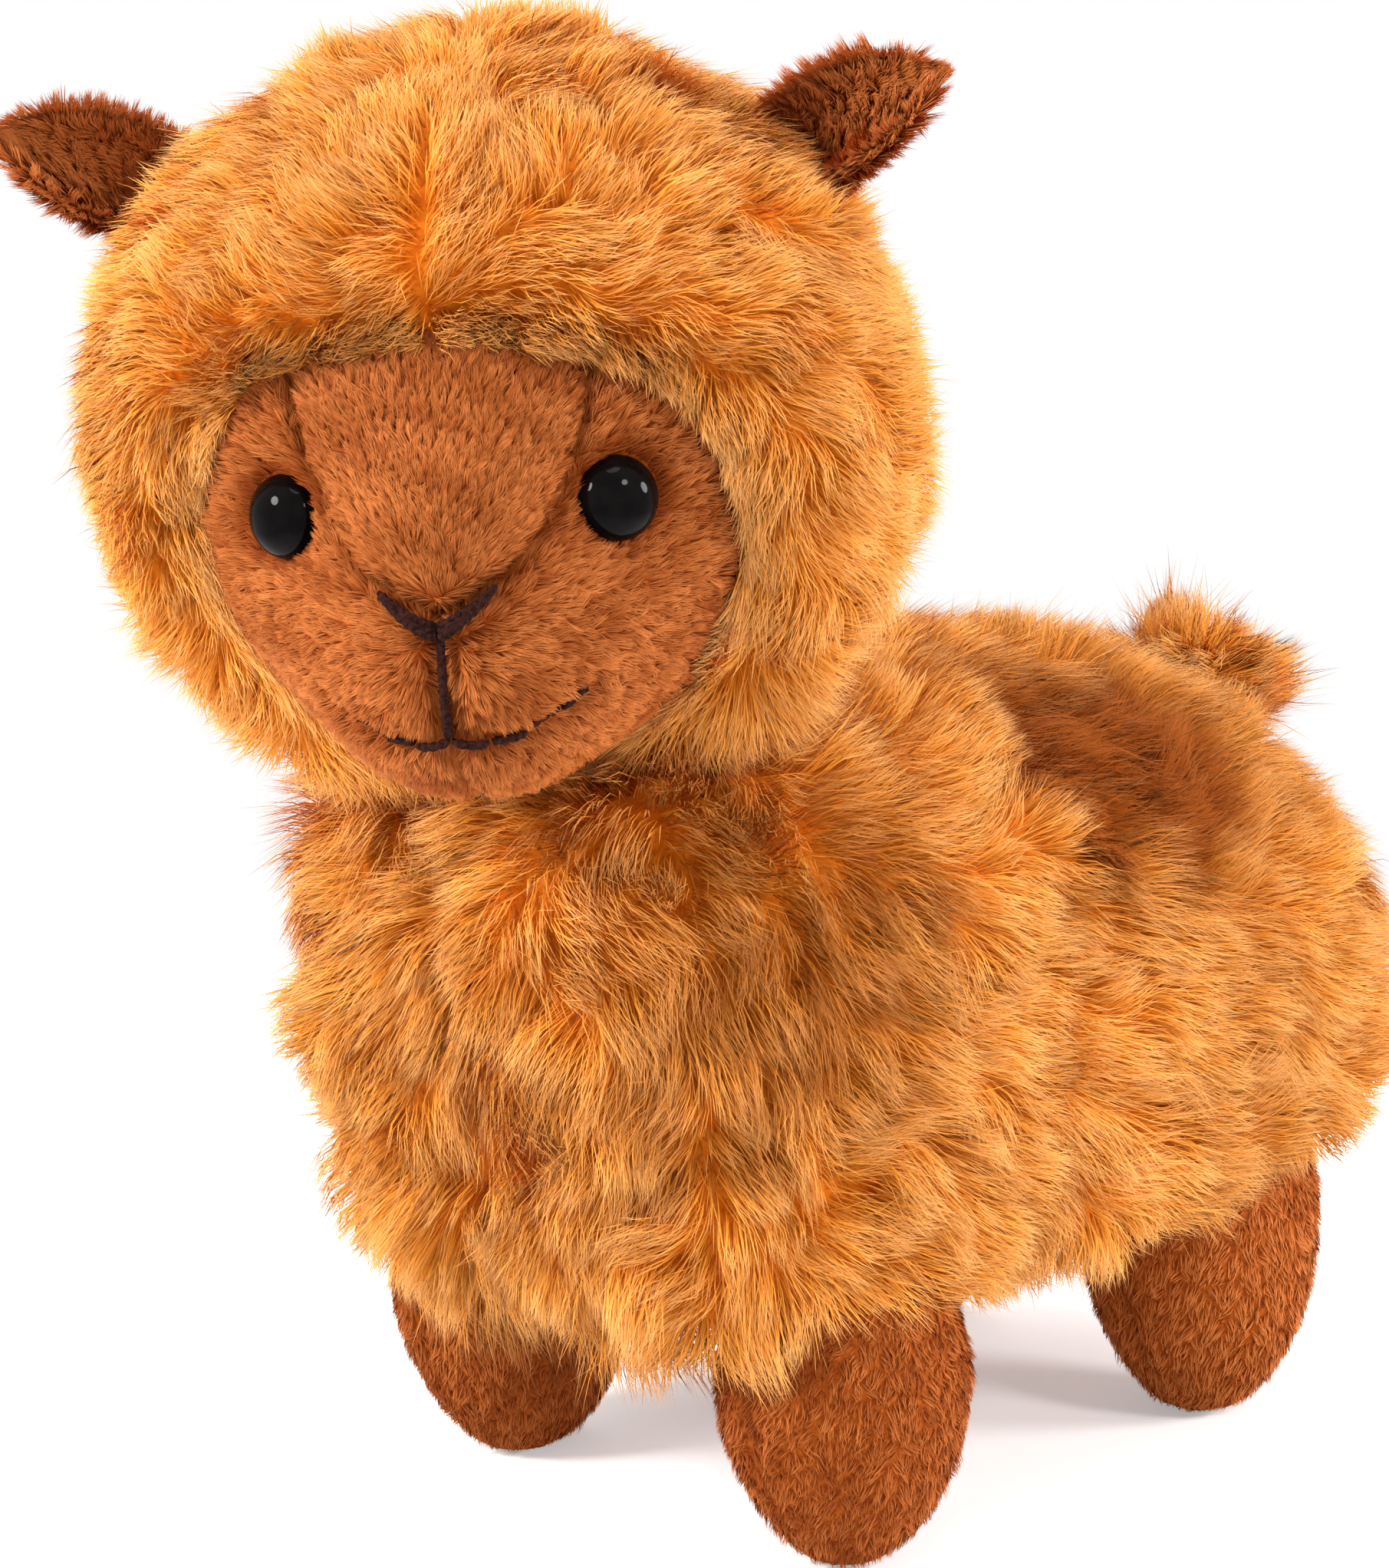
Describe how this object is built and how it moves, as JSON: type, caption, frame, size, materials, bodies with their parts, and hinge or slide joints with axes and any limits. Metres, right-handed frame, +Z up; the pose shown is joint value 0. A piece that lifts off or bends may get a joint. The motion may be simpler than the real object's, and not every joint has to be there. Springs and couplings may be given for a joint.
{
  "type": "plush llama",
  "caption": "Small stuffed toy llama standing on short legs, with long shaggy fur, a short-pile face, cupped ears and domed plastic eyes.",
  "frame": {"origin": "on the ground, at the middle of the toy's bounding box", "axes": "+Z up, the body faces -Y, and the toy's own left side is +X"},
  "size_m": [0.1062, 0.208, 0.2004],
  "materials": {
    "fur": "long brushed pile",
    "short_pile": "short dense pile",
    "stuffing": "fibre filling",
    "eye": "polished",
    "washer": "moulded",
    "thread": "embroidery thread"
  },
  "bodies": {
    "root": {"body_left_panel": "fur", "body_right_panel": "fur", "belly_panel": "fur", "hood_left_panel": "fur", "hood_right_panel": "fur", "tail": "fur", "face_centre_panel": "short_pile", "left_cheek_panel": "short_pile", "right_cheek_panel": "short_pile", "left_ear_front": "short_pile", "left_ear_back": "short_pile", "right_ear_front": "short_pile", "right_ear_back": "short_pile", "front_left_leg_outer_panel": "short_pile", "front_left_leg_inner_panel": "short_pile", "front_right_leg_outer_panel": "short_pile", "front_right_leg_inner_panel": "short_pile", "rear_left_leg_outer_panel": "short_pile", "rear_left_leg_inner_panel": "short_pile", "rear_right_leg_outer_panel": "short_pile", "rear_right_leg_inner_panel": "short_pile", "body_stuffing": "stuffing", "head_stuffing": "stuffing", "front_left_leg_stuffing": "stuffing", "front_right_leg_stuffing": "stuffing", "rear_left_leg_stuffing": "stuffing", "rear_right_leg_stuffing": "stuffing", "left_eye": "eye", "right_eye": "eye", "left_eye_washer": "washer", "right_eye_washer": "washer", "nose_stitching": "thread", "lip_stitching": "thread", "mouth_stitching": "thread"}
  },
  "joints": []
}
